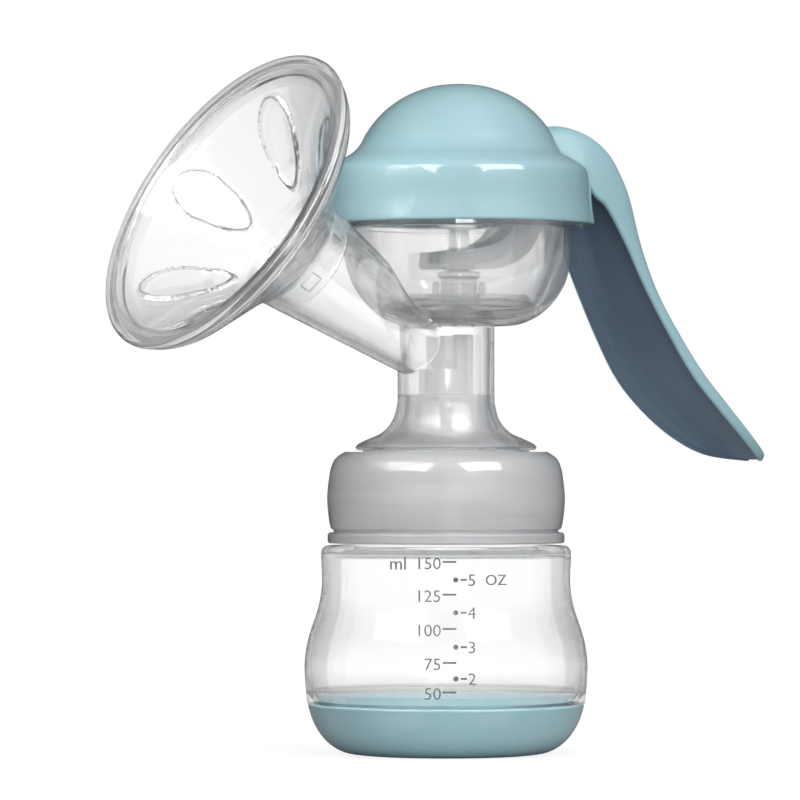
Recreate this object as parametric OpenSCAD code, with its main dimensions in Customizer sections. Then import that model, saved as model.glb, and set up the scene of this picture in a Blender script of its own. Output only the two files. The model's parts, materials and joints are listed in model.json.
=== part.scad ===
// Manual breast pump: a squeeze lever lifts a silicone diaphragm in a clear bowl,
// which draws milk through the shield and a one-way valve into the bottle below.
// Millimetres. +Z is up, the horn points to -X and the lever to +X.
// The origin is where the bottle's axis meets the table.

/* [Bottle] */
// Largest radius of the bottle's bulge
bottle_r = 35.3; // [34:0.1:37]
// Radius of the bottle's waist, under the collar
waist_r = 31; // [30:0.1:32]
// Height of the bottle's shoulder above the table
shoulder_z = 52; // [50:0.5:52]
// Wall of the clear mouldings
wall = 1.7; // [1.4:0.1:2]
// Height of the coloured base cup
base_h = 12.4; // [11:0.1:13]

/* [Screw collar] */
// Largest radius of the collar
collar_r = 29.7; // [29.4:0.1:30.2]
// Height of the collar's top face
collar_top = 75.4; // [75:0.1:75.6]
// Axial advance of the four-start thread in one turn
thread_lead = 18; // [16:1:20]

/* [Pump body] */
// Offset of the bowl's axis from the bottle's axis
bowl_x = 4; // [3:0.1:5]
// Outer radius of the bowl
bowl_r = 28.1; // [27.5:0.1:28.5]
// Height of the bowl's underside
bowl_z = 107; // [106:0.5:108]
// Height of the bowl's rim
rim_z = 137.5; // [137:0.1:138]
// Outer radius of the neck
neck_r = 12.1; // [11.5:0.1:12.5]
// Angle of the horn above the horizontal
horn_tilt = 30; // [28:1:32]
// Height at which the horn's axis crosses the bottle's axis
horn_z = 97.8; // [97:0.1:99]
// Distance from that crossing to the plane of the shield's rim
horn_len = 74.6; // [74:0.1:75]
// Outer radius of the shield's rim
shield_r = 41.7; // [41:0.1:43]

/* [Lever] */
// Distance of the lever's pivot from the bowl's axis
pivot_dx = 22; // [22:0.1:22.2]
// Height of the lever's pivot
pivot_z = 145.6; // [145.4:0.1:145.8]
// Radius of the pivot pin
pin_r = 1.5; // [1.3:0.1:1.7]
// Half width of the inner arm and its fork
arm_w = 5.6; // [5.4:0.1:6.2]

/* [Hidden] */
$fn = 96;
eps = 0.01;
fit = 0.3;          // gap between pieces that move on each other
skin = 0.05;        // gap between pieces that rest on each other
silicone_t = 1.3;   // thickness of the silicone mouldings
pivot_x = bowl_x + pivot_dx;
scale_turn = -125.7; // direction that the printed scale faces, from +X

blue = [0.60, 0.76, 0.79];
clear = [0.86, 0.90, 0.92, 0.35];
frost = [0.88, 0.89, 0.90, 0.7];
silicone = [0.93, 0.94, 0.95, 0.6];

// ---- helpers -------------------------------------------------------------------

// Points on an arc in a profile plane
function arc(cx, cy, r, from, to, n = 6) =
    [for (i = [0 : n]) let (a = from + (to - from) * i / n) [cx + r * cos(a), cy + r * sin(a)]];

// One point of a Catmull-Rom curve between p1 and p2
function spline_at(p0, p1, p2, p3, t) =
    0.5 * (2 * p1 + (p2 - p0) * t + (2 * p0 - 5 * p1 + 4 * p2 - p3) * t * t
           + (3 * p1 - p0 - 3 * p2 + p3) * t * t * t);

// A smooth curve through all of the points, n steps between each two
function spline(p, n = 4) =
    let (last = len(p) - 1)
    concat([for (i = [0 : last - 1], k = [0 : n - 1])
                spline_at(p[max(i - 1, 0)], p[i], p[i + 1], p[min(i + 2, last)], k / n)],
           [p[last]]);

function reversed(p) = [for (i = [len(p) - 1 : -1 : 0]) p[i]];

// The same profile with every radius changed by d and every height by dz
function shifted(p, d, dz = 0) = [for (q = p) [max(q[0] + d, 0), q[1] + dz]];

// A solid turned from an outline of [radius, height] points
module turned(p) {
    rotate_extrude() polygon(p);
}

// A turned shell between an outer and an inner outline, both listed upwards
module shell(outer, inner) {
    turned(concat(outer, reversed(inner)));
}

module tube(r_out, r_in, z0, z1) {
    translate([0, 0, z0])
        difference() {
            cylinder(r = r_out, h = z1 - z0);
            translate([0, 0, -1]) cylinder(r = r_in, h = z1 - z0 + 2);
        }
}

// Places its children on the bowl's axis
module on_bowl() {
    translate([bowl_x, 0, 0]) children();
}

// Places its children with +Z along the horn's axis, out of the shield
module on_horn() {
    translate([0, 0, horn_z]) rotate([0, -90 + horn_tilt, 0]) children();
}

// One helical thread ridge on a cylinder of radius r, standing out by rise (inward if negative)
module ridge(r, rise, z0, from, span, half = 0.8, steps = 12) {
    root = -0.3 * sign(rise);
    rings = [for (i = [0 : steps])
        let (a = from + span * i / steps, z = z0 + thread_lead * (span * i / steps) / 360)
        for (q = [[r + root, -half], [r + rise, -half * 0.45], [r + rise, half * 0.45], [r + root, half]])
            [q[0] * cos(a), q[0] * sin(a), z + q[1]]];
    side = [for (i = [0 : steps - 1], k = [0 : 3])
        let (a = 4 * i + k, b = 4 * i + (k + 1) % 4)
        each rise > 0 ? [[a, b, b + 4], [a, b + 4, a + 4]] : [[a, b + 4, b], [a, a + 4, b + 4]]];
    last = 4 * steps;
    ends = rise > 0
        ? [[0, 3, 2], [0, 2, 1], [last, last + 1, last + 2], [last, last + 2, last + 3]]
        : [[0, 2, 3], [0, 1, 2], [last, last + 2, last + 1], [last, last + 3, last + 2]];
    polyhedron(rings, concat(side, ends));
}

// ---- bottle --------------------------------------------------------------------

neck_out = 24.8;
mouth_r = 23;
mouth_z = 67.2;
thread_z = 57.6;
thread_starts = 4;

// Outer line of the bottle from its step over the base cup to its shoulder
body_line = spline([[bottle_r - 0.6, base_h + 0.3], [bottle_r - 0.1, 18.4], [bottle_r, 23],
                    [bottle_r - 0.7, 28],
                    [(bottle_r + waist_r) / 2 + 0.2, 32.2], [waist_r + 0.8, 37], [waist_r, 42.5],
                    [waist_r + 0.2, 48.5]]);
foot_line = [[0, 4.2], [20, 4.2], [26, 4.6], [29.6, 6.6], [31.6, 9.4], [32.2, base_h + 0.3]];
bottle_outer = concat(foot_line, body_line,
                      arc(waist_r - 1.6, shoulder_z - 1.8, 1.8, 0, 90, 4),
                      [[neck_out, shoulder_z], [neck_out, mouth_z]]);
bottle_inner = concat([[0, 4.2 + wall], [20, 4.2 + wall], [25.4, 6.3], [28.2, 7.9], [30, 10.4],
                       [31, base_h + 0.3]],
                      shifted([for (q = body_line) if (q[1] > base_h + 2) q], -wall),
                      arc(waist_r - 3.2, shoulder_z - 3.5, 1.8, 0, 90, 4),
                      [[mouth_r, shoulder_z - 1.7], [mouth_r, mouth_z]]);

module bottle() {
    color(clear) {
        shell(bottle_outer, bottle_inner);
        for (k = [0 : thread_starts - 1])
            ridge(neck_out, 1.5, thread_z, k * 360 / thread_starts, 90);
    }
}

foot_r = 22.5;
groove = [18.6, 20];
base_outer = concat([[0, 0], [groove[0], 0], [groove[0], 0.7], [groove[1], 0.7], [groove[1], 0], [foot_r, 0]],
                    spline([[foot_r, 0], [25.5, 0.5], [28.6, 2.1], [31.3, 4.8], [33.3, 8.3],
                            [34.6, base_h]], 3));
module bottle_base() {
    color(blue)
        turned(concat(base_outer,
                      [[32.2 + 0.2, base_h], [32.2 + 0.1, base_h - 1.5], [31.7, 9.1], [29.9, 6.3],
                       [26.2, 4.3],
                       [24.5, 4.1], [24.5, 3], [18.5, 3], [18.5, 4.1], [0, 4.1]]));
}

// Silicone ring that seals the cup's floor against the bottle
module base_seal() {
    color(silicone) tube(24.3, 18.7, 3 + skin, 4.2 - skin);
}

mark_z = [16.5, 23.7, 31.9, 40.2, 48.2];
mark_w = 3.4;
mark_t = 0.4;
mark_relief = 0.2;
dot_r = 0.6;
dot_y = 4.2;       // dots of the second scale stand beside the lines and a little lower
dot_drop = 2.6;
module graduation_marks() {
    color("gray")
        intersection() {
            shell(shifted(body_line, skin + mark_relief), shifted(body_line, skin));
            rotate([0, 0, scale_turn])
                for (z = mark_z)
                    translate([bottle_r - 8, 0, z]) {
                        translate([0, 0, -mark_t / 2]) cube([12, mark_w, mark_t]);
                        translate([0, dot_y, -dot_drop])
                            rotate([0, 90, 0]) cylinder(r = dot_r, h = 12, $fn = 24);
                    }
        }
}

// ---- screw collar --------------------------------------------------------------

collar_in = 27.4;
spigot_r = 20.8;
flange_z = 71.4;
collar_line = concat([[collar_r - 0.3, shoulder_z + 0.6], [collar_r - 0.1, shoulder_z + 1],
                      [collar_r - 0.1, 54.6],
                      [collar_r - 0.5, 55.1], [28.1, 55.3], [28.1, 55.7], [collar_r - 0.9, 56.4]],
                     spline([[collar_r - 0.6, 58], [collar_r - 0.1, 61.4], [collar_r, 64.5],
                             [collar_r - 0.4, 68.5],
                             [collar_r - 1, 71.6], [collar_r - 2.2, 73.9], [collar_r - 4.4, collar_top]], 3));
module screw_collar() {
    color(frost) {
        shell(concat(collar_line, [[spigot_r + fit, collar_top]]),
              [[collar_in, shoulder_z + 0.6], [collar_in, 69.4], [collar_in - 0.9, 71],
               [collar_in - 2, flange_z + fit], [spigot_r + fit, flange_z + fit]]);
        for (k = [0 : thread_starts - 1])
            ridge(collar_in, -1.5, thread_z - thread_lead / thread_starts / 2 - 0.1,
                  k * 360 / thread_starts + 2, 84);
    }
}

// Split ring in the spigot's groove that keeps the collar on
ring_gap = 3;
module collar_snap_ring() {
    color(frost)
        difference() {
            tube(spigot_r + 1.6, spigot_r - 0.7, flange_z - 1.7, flange_z - skin);
            translate([spigot_r - 3, -ring_gap / 2, flange_z - 3]) cube([8, ring_gap, 4]);
        }
}

// ---- pump body -----------------------------------------------------------------

bell_lip_r = 22.6;
spigot_in = 18.9;
spigot_bottom = 68.2;
bowl_in = bowl_r - wall;
port_hole_r = 1.9;
port_ring_r = 7.4;
rim_flange_r = 31.5;
rim_flange_z = 131.2;

bowl_outer = concat([[0, bowl_z], [13, bowl_z], [17, bowl_z + 0.9]],
                    spline([[17, bowl_z + 0.9], [20.6, bowl_z + 2.9], [24, bowl_z + 6.3],
                            [26.6, bowl_z + 10.6],
                            [27.9, bowl_z + 15.5], [bowl_r, bowl_z + 20]], 3), [[bowl_r, rim_flange_z]]);
bowl_inner = concat([[0, bowl_z + wall], [12.6, bowl_z + wall], [16.2, bowl_z + wall + 0.9]],
                    spline([[16.2, bowl_z + wall + 0.9], [19.4, bowl_z + 4.3], [22.5, bowl_z + 7.4],
                            [24.9, bowl_z + 11.4], [26.2, bowl_z + 16], [bowl_in, bowl_z + 20]], 3));
rim_line = [[rim_flange_r, rim_flange_z], [rim_flange_r, rim_flange_z + 2.2], [29.6, rim_flange_z + 2.6],
            [29.6, rim_z]];

// Outer line of the neck, its bell and the spigot that the collar turns on
neck_line = concat([[spigot_r - 0.8, spigot_bottom], [spigot_r - 0.8, flange_z - 1.8],
                    [spigot_r - 0.8, flange_z],
                    [spigot_r, flange_z + 0.1], [spigot_r, collar_top + 0.3],
                    [bell_lip_r - 0.2, collar_top + 0.5],
                    [bell_lip_r, collar_top + 1.2]],
                   spline([[bell_lip_r - 0.3, collar_top + 1.8], [19.4, 78.6], [16.3, 80], [14.2, 82],
                           [12.9, 84.4],
                           [neck_r, 88]], 3), [[neck_r, bowl_z + 1]]);
neck_cavity = concat([[0, spigot_bottom - 1], [spigot_in, spigot_bottom - 1], [spigot_in, collar_top]],
                     spline([[18.4, collar_top + 0.9], [15.6, 78.4], [13.2, 80.6], [11.6, 83.6],
                             [neck_r - wall, 88]], 3),
                     [[neck_r - wall, bowl_z - 0.6], [0, bowl_z - 0.6]]);

// Outer radius of the horn's tube at distance t along its axis
function horn_r(t) = 7.5 + 0.137 * t;
throat_t = 52;
flare = [[15.2, 54.5], [17.6, 57.2], [21.5, 60.6], [37.6, horn_len - 2.6]];
horn_outer = concat([[0, -6], [horn_r(0), 0], [horn_r(throat_t), throat_t]], flare,
                    [[shield_r - 1.8, horn_len - 1], [shield_r - 1.8, horn_len + 0.4], [0, horn_len + 0.4]]);
horn_cavity = concat([[0, -2], [horn_r(0) - wall, 2], [horn_r(throat_t) - wall, throat_t]],
                     [for (q = flare) [q[0] - wall * 0.8, q[1] + wall * 0.6]],
                     [[shield_r - 3.2, horn_len - 0.6], [shield_r - 3.2, horn_len + 2], [0, horn_len + 2]]);

module pump_body() {
    color(clear)
        difference() {
            union() {
                on_bowl() turned(concat(bowl_outer, rim_line, [[0, rim_z]]));
                turned(concat([[0, spigot_bottom]], neck_line, [[0, bowl_z + 1]]));
                on_horn() turned(horn_outer);
            }
            on_bowl() turned(concat(bowl_inner, [[bowl_in, rim_z + 1], [0, rim_z + 1]]));
            turned(neck_cavity);
            difference() {
                on_horn() turned(horn_cavity);
                on_bowl() turned(concat(bowl_outer, [[bowl_r, rim_z], [0, rim_z]]));
            }
            // vacuum port in the bowl's floor
            on_bowl() translate([0, 0, bowl_z - 2]) cylinder(r = port_hole_r, h = 6, $fn = 48);
            // groove for the collar's snap ring
            tube(spigot_r + 3, spigot_r - 0.75, flange_z - 1.75, flange_z);
        }
    color(clear) on_bowl() tube(port_ring_r, port_ring_r - 1.4, bowl_z + wall - eps, bowl_z + wall + 0.7);
}

// ---- valve ---------------------------------------------------------------------

sleeve_top = 89.6;
sleeve_t = 1.4;
sleeve_r = neck_r - wall - 0.15;
sleeve_seat = 72.6;  // height at which the sleeve spreads to the spigot's bore
air_tube_r = 6.8;    // tube that leads the air from the vacuum port past the milk
air_tube_top = 104.6;
window_z = 96;       // the tube is open toward the horn above this height
window_x = -1.5;
window_half = 7;
drain_r = 1.3;       // milk falls through holes in the sleeve's shoulder
nozzle_r = 7;
nozzle_z = 62;
module valve_sleeve() {
    color(frost)
        difference() {
            shell([[nozzle_r, nozzle_z], [nozzle_r, sleeve_seat], [spigot_in - 0.15, sleeve_seat],
                   [spigot_in - 0.15, 74.2], [14.4, 77.4], [12, 80.3], [10.7, 83.6], [sleeve_r, 86.6],
                   [sleeve_r, sleeve_top], [air_tube_r, sleeve_top + 0.2], [air_tube_r, air_tube_top]],
                  [[nozzle_r - sleeve_t, nozzle_z], [nozzle_r - sleeve_t, 73.4], [12.2, 76.4],
                   [10.2, 79.8], [9, 83.2],
                   [sleeve_r - sleeve_t, 86.6], [sleeve_r - sleeve_t, 87.6], [air_tube_r - sleeve_t, 88.2],
                   [air_tube_r - sleeve_t, air_tube_top]]);
            for (turn = [45 : 90 : 315])
                rotate([0, 0, turn]) translate([8.4, 0, 87]) cylinder(r = drain_r, h = 4, $fn = 24);
            translate([window_x - neck_r, -window_half, window_z]) cube([neck_r, 2 * window_half, 12]);
        }
}

// Outer or inner form of the valve's bill, which closes to a slit
module bill(r, slit, z_top, z_tip) {
    hull() {
        translate([0, 0, z_top]) cylinder(r = r, h = 0.2, $fn = 32);
        translate([-r, -slit / 2, z_tip]) cube([2 * r, slit, 0.2]);
    }
}

bill_r = nozzle_r + 1.3;
bill_tip_z = 54;
bill_tip_t = 2.2;
bill_slit = 0.3;
module duckbill_valve() {
    color(silicone) {
        tube(bill_r, nozzle_r + skin, nozzle_z, nozzle_z + 8);
        difference() {
            bill(bill_r, bill_tip_t, nozzle_z - 0.2, bill_tip_z);
            bill(nozzle_r - 1.2, bill_slit, nozzle_z - 0.1, bill_tip_z - 0.1);
        }
    }
}

// Silicone ring between the bottle's mouth and the pump body
module mouth_seal() {
    color(silicone) tube(neck_out - 0.2, spigot_r + 0.15, mouth_z + 0.2, mouth_z + 2.1);
}

// ---- shield --------------------------------------------------------------------

cushion_front = horn_len + 3.4;
tunnel_end = 47.2;
tunnel_out = horn_r(tunnel_end) - wall - fit;
tunnel_r = tunnel_out - 1.4;
cushion_back = concat([[tunnel_out, tunnel_end], [horn_r(throat_t) - wall - fit, throat_t + 0.4]],
                      [for (q = flare) [q[0] - wall * 0.8 - fit, q[1] + wall * 0.6 + fit]],
                      [[shield_r - 3.6, horn_len - 0.4], [shield_r - 3.6, horn_len + 0.7],
                       [shield_r - 1.5, horn_len + 0.7], [shield_r - 1.5, horn_len]]);
cushion_rim = concat([[shield_r - 0.8, horn_len]], arc(shield_r - 1, cushion_front - 1, 1, -90, 90, 8));
cushion_face = [[shield_r - 4.4, cushion_front - 0.1], [shield_r - 6.2, cushion_front - 2.2], [18.6, 61.6],
                [14, 57.6],
                [tunnel_r + 0.6, 54.4], [tunnel_r, 50.6], [tunnel_r, tunnel_end]];
module massage_cushion() {
    color(silicone)
        on_horn() turned(concat(cushion_back, cushion_rim, cushion_face));
}

// ---- diaphragm and stem ---------------------------------------------------------

membrane_z = bowl_z + wall + 2.1;
plate_z = membrane_z + silicone_t + skin;
plate_r = 18.6;
plate_h = 2.8;
hub_r = 4.5;        // thick part of the stem, which the plate goes round
peg_x = 7.1;
peg_r = 0.8;
retainer_r = 9;
wall_out = spline([[17.8, membrane_z], [19.4, membrane_z + 1.1], [20.9, membrane_z + 3.4],
                   [23.4, membrane_z + 9.2],
                   [25.6, 129], [26.1, rim_z + skin]], 3);
wall_in = spline([[18.7, membrane_z + silicone_t], [19.6, membrane_z + 3.8], [22.1, membrane_z + 9.6],
                  [24.3, 129.2], [24.8, rim_z + silicone_t]], 3);
module diaphragm() {
    color(silicone)
        on_bowl()
            turned(concat([[3, membrane_z]], wall_out,
                          [[29.4, rim_z + skin], [29.4, rim_z + silicone_t]],
                          reversed(wall_in), [[3, membrane_z + silicone_t]]));
}

stem_r = 2.5;
stem_head_z = 131;
module diaphragm_plate() {
    color(frost)
        on_bowl() {
            difference() {
                union() {
                    translate([0, 0, plate_z]) cylinder(r = plate_r, h = plate_h - 0.8);
                    translate([0, 0, plate_z]) cylinder(r = plate_r - 1.2, h = plate_h);
                    // two locating pegs
                    for (side = [-1, 1])
                        translate([peg_x * side, 0, plate_z]) cylinder(r = peg_r, h = 2 * plate_h, $fn = 32);
                }
                translate([0, 0, plate_z - 1]) cylinder(r = hub_r + skin, h = plate_h + 6);
            }
        }
}

module pull_stem() {
    color(frost)
        on_bowl()
            turned(concat([[0, membrane_z + 0.2], [stem_r, membrane_z + 0.2], [stem_r, plate_z],
                           [hub_r, plate_z],
                           [hub_r, 118.4], [hub_r + 0.9, 119], [hub_r + 0.9, 119.8], [hub_r + 0.4, 120.3],
                           [stem_r, 120.6], [stem_r, stem_head_z], [4, stem_head_z]],
                          arc(4, stem_head_z + 0.7, 0.7, -90, 90, 4), [[0, stem_head_z + 1.6]]));
}

// Snap washer under the diaphragm that holds the stem's foot
module stem_retainer() {
    color(frost)
        on_bowl()
            shell([[retainer_r - 0.5, membrane_z - 1.1], [retainer_r, membrane_z - 0.8],
                   [retainer_r, membrane_z - skin]],
                  [[0, membrane_z - 1.1], [0, membrane_z - skin]]);
}

// ---- lever ---------------------------------------------------------------------

bracket_z = rim_z + silicone_t + skin;
bracket_h = 2.4;
ear_in = arm_w + 0.8;
ear_t = 2.8;
ear_r = 3.2;
module lever_bracket() {
    color(blue)
        difference() {
            union() {
                on_bowl() tube(29.4, 25, bracket_z, bracket_z + bracket_h);
                for (side = [-1, 1])
                    translate([pivot_x, side * (ear_in + ear_t / 2), 0])
                        rotate([90, 0, 0])
                            linear_extrude(height = ear_t, center = true)
                                union() {
                                    translate([0, pivot_z]) circle(r = ear_r);
                                    polygon([[-ear_r, pivot_z], [-1.5, bracket_z], [5.6, bracket_z],
                                             [5.6, bracket_z + 2], [ear_r, pivot_z]]);
                                }
            }
            translate([pivot_x, 0, pivot_z])
                rotate([90, 0, 0]) cylinder(r = pin_r, h = 60, center = true, $fn = 48);
        }
}

module pivot_pin() {
    color("silver")
        translate([pivot_x, 0, pivot_z])
            rotate([90, 0, 0])
                cylinder(r = pin_r - 0.02, h = 2 * (ear_in + ear_t) - 0.4, center = true, $fn = 48);
}

// Thrust washers between the lever's boss and the bracket's ears
module pin_bushes() {
    color("white")
        for (side = [-1, 1])
            translate([pivot_x, side * (arm_w + 0.4), pivot_z])
                rotate([90, 0, 0])
                    difference() {
                        cylinder(r = 2.8, h = 0.6, center = true, $fn = 48);
                        cylinder(r = pin_r, h = 2, center = true, $fn = 48);
                    }
}

// Middle line of the paddle's back and of its edges, from the hood to the tip
back_line = [[21, 153], [26, 156.6], [32.5, 157.8], [39.5, 156], [45.5, 151.8], [49.3, 146], [51.8, 139.5],
             [54.6, 128], [59, 117], [65.2, 107], [73, 97], [82.3, 87.6], [90.8, 80], [97, 75.6], [99.8, 74]];
edge_line = [[22, 149.6], [25, 149.4], [28.5, 149.2], [32, 146.8], [34.6, 143], [37, 139.8], [40.6, 137],
             [46.3, 128], [52.3, 116.6], [59, 105.3], [66.3, 94.6], [74.6, 86.3], [83.4, 79.3], [91.5, 74.6],
             [99.2, 73]];
back_half = [4.5, 6, 7.4, 8.4, 9, 9.3, 9.4, 9.4, 9.4, 9.6, 9.8, 9.6, 8.4, 5.6, 1.2];
edge_half = [6, 8, 10, 12, 13.2, 13.8, 14, 14.4, 15, 16, 16.8, 16.8, 15.2, 11.2, 3.6];
shell_t = 2;
stations = [for (i = [0 : len(back_line) - 1])
                [back_line[i][0], back_line[i][1], edge_line[i][0], edge_line[i][1], back_half[i],
                 edge_half[i]]];
paddle = spline(stations, 2);
section_points = 14;

// One section of the open paddle: seven points outside, seven inside, as [along edge-to-back, across]
function section(back, edge) =
    let (t = shell_t)
    [[0, -edge], [0.45, -edge * 0.97], [0.85, -back * 1.22], [1, -back * 0.6],
     [1, back * 0.6], [0.85, back * 1.22], [0.45, edge * 0.97], [0, edge],
     [0, edge - t * 0.9], [0.4, edge * 0.97 - t], [0.75, max(back * 1.2 - t, 0.2)],
     [0.75, -max(back * 1.2 - t, 0.2)], [0.4, -edge * 0.97 + t], [0, -edge + t * 0.9]];

module paddle_shell() {
    pts = [for (s = paddle)
        let (b = [s[0], s[1]], e = [s[2], s[3]], d = b - e, n = norm(d) > 0.01 ? d / norm(d) : [0, 1])
        for (q = section(s[4], s[5]))
            let (depth = q[0] == 0.75 ? max(norm(d) - shell_t, norm(d) * 0.35)
                       : q[0] == 0.4 ? norm(d) * 0.4 : q[0] * norm(d))
            [e[0] + n[0] * depth, q[1], e[1] + n[1] * depth]];
    m = section_points;
    rows = len(paddle) - 1;
    side = [for (i = [0 : rows - 1], k = [0 : m - 1])
        let (a = m * i + k, b = m * i + (k + 1) % m)
        each [[a, b, b + m], [a, b + m, a + m]]];
    // triangles that close an end, between the outer and the inner points
    cap = [[0, 1, 12], [0, 12, 13], [1, 2, 11], [1, 11, 12], [2, 3, 11], [3, 4, 10], [3, 10, 11],
           [4, 5, 10], [5, 6, 9], [5, 9, 10], [6, 7, 8], [6, 8, 9]];
    polyhedron(pts, concat(side, [for (f = cap) [f[0], f[2], f[1]]],
                           [for (f = cap) [for (v = f) v + m * rows]]));
}

// Side view of the arm from the paddle to the fork
arm_line = [[bowl_x + 22.3, 147.5], [bowl_x + 25.4, 147], [bowl_x + 25.2, 143.6], [bowl_x + 22.6, 139],
            [bowl_x + 21.8, 132], [bowl_x + 20.2, 128], [bowl_x + 16, 123.9], [bowl_x + 11.5, 122],
            [bowl_x + 6, 121], [bowl_x - 7.6, 120.8], [bowl_x - 8.4, 121.4], [bowl_x - 8, 125.2],
            [bowl_x - 4, 125.4], [bowl_x + 6, 127.2], [bowl_x + 10.5, 129.2], [bowl_x + 13.5, 133],
            [bowl_x + 15, 140], [bowl_x + 16.6, 146], [bowl_x + 18, 152.6], [bowl_x + 24, 155.4],
            [bowl_x + 28, 155],
            [bowl_x + 26, 151]];
slot_half = 3;
boss_r = 3.8;
module lever_handle() {
    color(blue)
        difference() {
            union() {
                paddle_shell();
                rotate([90, 0, 0])
                    linear_extrude(height = 2 * arm_w, center = true)
                        polygon(arm_line);
                translate([pivot_x, 0, pivot_z])
                    rotate([90, 0, 0]) cylinder(r = boss_r, h = 2 * arm_w, center = true);
            }
            // fork slot around the stem
            translate([bowl_x - 12, -slot_half, 119]) cube([24.5, 2 * slot_half, 12]);
            translate([pivot_x, 0, pivot_z])
                rotate([90, 0, 0]) cylinder(r = pin_r + 0.04, h = 40, center = true, $fn = 48);
        }
}

// ---- hood ----------------------------------------------------------------------

hood_t = 1.9;
hood_bottom = 132.4;
hood_top = 167.6;
ledge_z = bracket_z + bracket_h + skin;
gate_half = 15.6;   // opening that the lever passes through
gate_h = 27.6;
hood_line = spline([[34, hood_bottom], [33.3, 138], [32.8, 143.6], [32, 146.4], [29.4, 148.5], [26.6, 150.3],
                    [24.7, 152.4], [23.3, 155], [21, 158.2], [17.6, 161.6], [12.6, 164.8], [6.6, 166.9],
                    [0, hood_top]], 3);
hood_inner = concat(spline([[34 - hood_t, hood_bottom], [31.5, 138], [31, 143], [30.1, 145.2], [28, 146.9],
                            [25.2, 148.7], [23, 151], [21.4, 154], [19.4, 156.8], [16.2, 160], [11.8, 162.9],
                            [6.2, 165], [0, hood_top - hood_t]], 3));
module hood() {
    color(blue)
        difference() {
            on_bowl() {
                shell(hood_line, hood_inner);
                // ledge that rests on the lever bracket
                tube(31.6, 27.6, ledge_z, ledge_z + 1.6);
            }
            translate([bowl_x + 17, -gate_half, hood_bottom - 1]) cube([30, 2 * gate_half, gate_h]);
        }
}

bottle();
bottle_base();
base_seal();
graduation_marks();
screw_collar();
collar_snap_ring();
pump_body();
valve_sleeve();
duckbill_valve();
mouth_seal();
massage_cushion();
diaphragm();
diaphragm_plate();
pull_stem();
stem_retainer();
lever_bracket();
pivot_pin();
pin_bushes();
lever_handle();
hood();
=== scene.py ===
import json
from math import atan2, cos, radians, sin, tau

import bpy
import bmesh
from mathutils import Matrix, Vector


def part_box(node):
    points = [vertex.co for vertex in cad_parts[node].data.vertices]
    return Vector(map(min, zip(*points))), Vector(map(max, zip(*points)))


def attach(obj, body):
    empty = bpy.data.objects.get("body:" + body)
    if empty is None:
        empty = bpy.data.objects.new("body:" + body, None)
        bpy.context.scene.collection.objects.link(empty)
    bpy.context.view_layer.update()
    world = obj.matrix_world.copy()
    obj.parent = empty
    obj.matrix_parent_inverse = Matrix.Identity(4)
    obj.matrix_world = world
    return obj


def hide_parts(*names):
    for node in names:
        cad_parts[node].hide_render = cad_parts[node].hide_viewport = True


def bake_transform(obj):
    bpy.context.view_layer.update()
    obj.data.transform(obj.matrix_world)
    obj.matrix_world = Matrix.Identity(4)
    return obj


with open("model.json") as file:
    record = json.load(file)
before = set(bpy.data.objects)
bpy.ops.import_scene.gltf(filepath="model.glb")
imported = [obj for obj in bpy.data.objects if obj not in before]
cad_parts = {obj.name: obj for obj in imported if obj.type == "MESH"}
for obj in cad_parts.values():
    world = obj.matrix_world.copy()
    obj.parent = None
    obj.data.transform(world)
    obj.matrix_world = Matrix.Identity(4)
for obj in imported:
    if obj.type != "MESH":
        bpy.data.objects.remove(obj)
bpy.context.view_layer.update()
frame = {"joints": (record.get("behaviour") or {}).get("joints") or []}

# A manual breast pump. Sizes in this script are millimetres in the CAD frame, and MM turns them into metres.
MM = 0.001
PHOTO_YAW = 35.7            # the camera stands between the horn's side (-X) and -Y
BOTTLE_R = 35.3
WAIST_R = 31
SHOULDER_Z = 52
WALL = 1.7
SKIN = 0.05
FIT = 0.3
NECK_OUT = 24.8
MOUTH_R = 23
MOUTH_Z = 67.2
THREAD_LEAD = 18
THREAD_STARTS = 4
THREAD_Z = 57.6
COLLAR_R = 29.7
SPIGOT_R = 20.8
BOWL_R = 28.1
NECK_R = 12.1
SILICONE_T = 1.3
SHELL_T = 2
ARM_W = 5.6


def node_box(node):
    """The lowest and highest corners of a CAD node, in millimetres."""
    low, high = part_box(node)
    return low / MM, high / MM


BASE_H = node_box("bottle_base")[1].z
BOWL_X = sum(corner.x for corner in node_box("diaphragm")) / 2
BOWL_Z = 107
RIM_Z = node_box("diaphragm")[1].z - SILICONE_T
COLLAR_TOP = node_box("screw_collar")[1].z
PLATE_Z = node_box("diaphragm_plate")[0].z
MEMBRANE_Z = PLATE_Z - SKIN - SILICONE_T
HOOD_BOTTOM, HOOD_TOP = (corner.z for corner in node_box("hood"))
HORN_TILT = 30
HORN_Z = 97.8
HORN_LEN = 74.6
SHIELD_R = node_box("massage_cushion")[1].y
PIVOT = Vector(next(j for j in frame["joints"] if j["name"] == "lever_squeeze")["pos_m"]) / MM


# ---- curves and meshes ------------------------------------------------------------

def spline(points, steps=6):
    """A Catmull-Rom curve through points of any dimension."""
    out = []
    last = len(points) - 1
    for i in range(last):
        p0, p1, p2, p3 = (points[min(max(k, 0), last)] for k in (i - 1, i, i + 1, i + 2))
        for k in range(steps):
            t = k / steps
            out.append(tuple(0.5 * (2 * b + (c - a) * t + (2 * a - 5 * b + 4 * c - d) * t * t
                                    + (3 * b - a - 3 * c + d) * t ** 3)
                             for a, b, c, d in zip(p0, p1, p2, p3)))
    out.append(tuple(points[-1]))
    return out


def arc(cx, cy, r, start, end, steps=6):
    return [(cx + r * cos(radians(start + (end - start) * i / steps)),
             cy + r * sin(radians(start + (end - start) * i / steps))) for i in range(steps + 1)]


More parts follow.
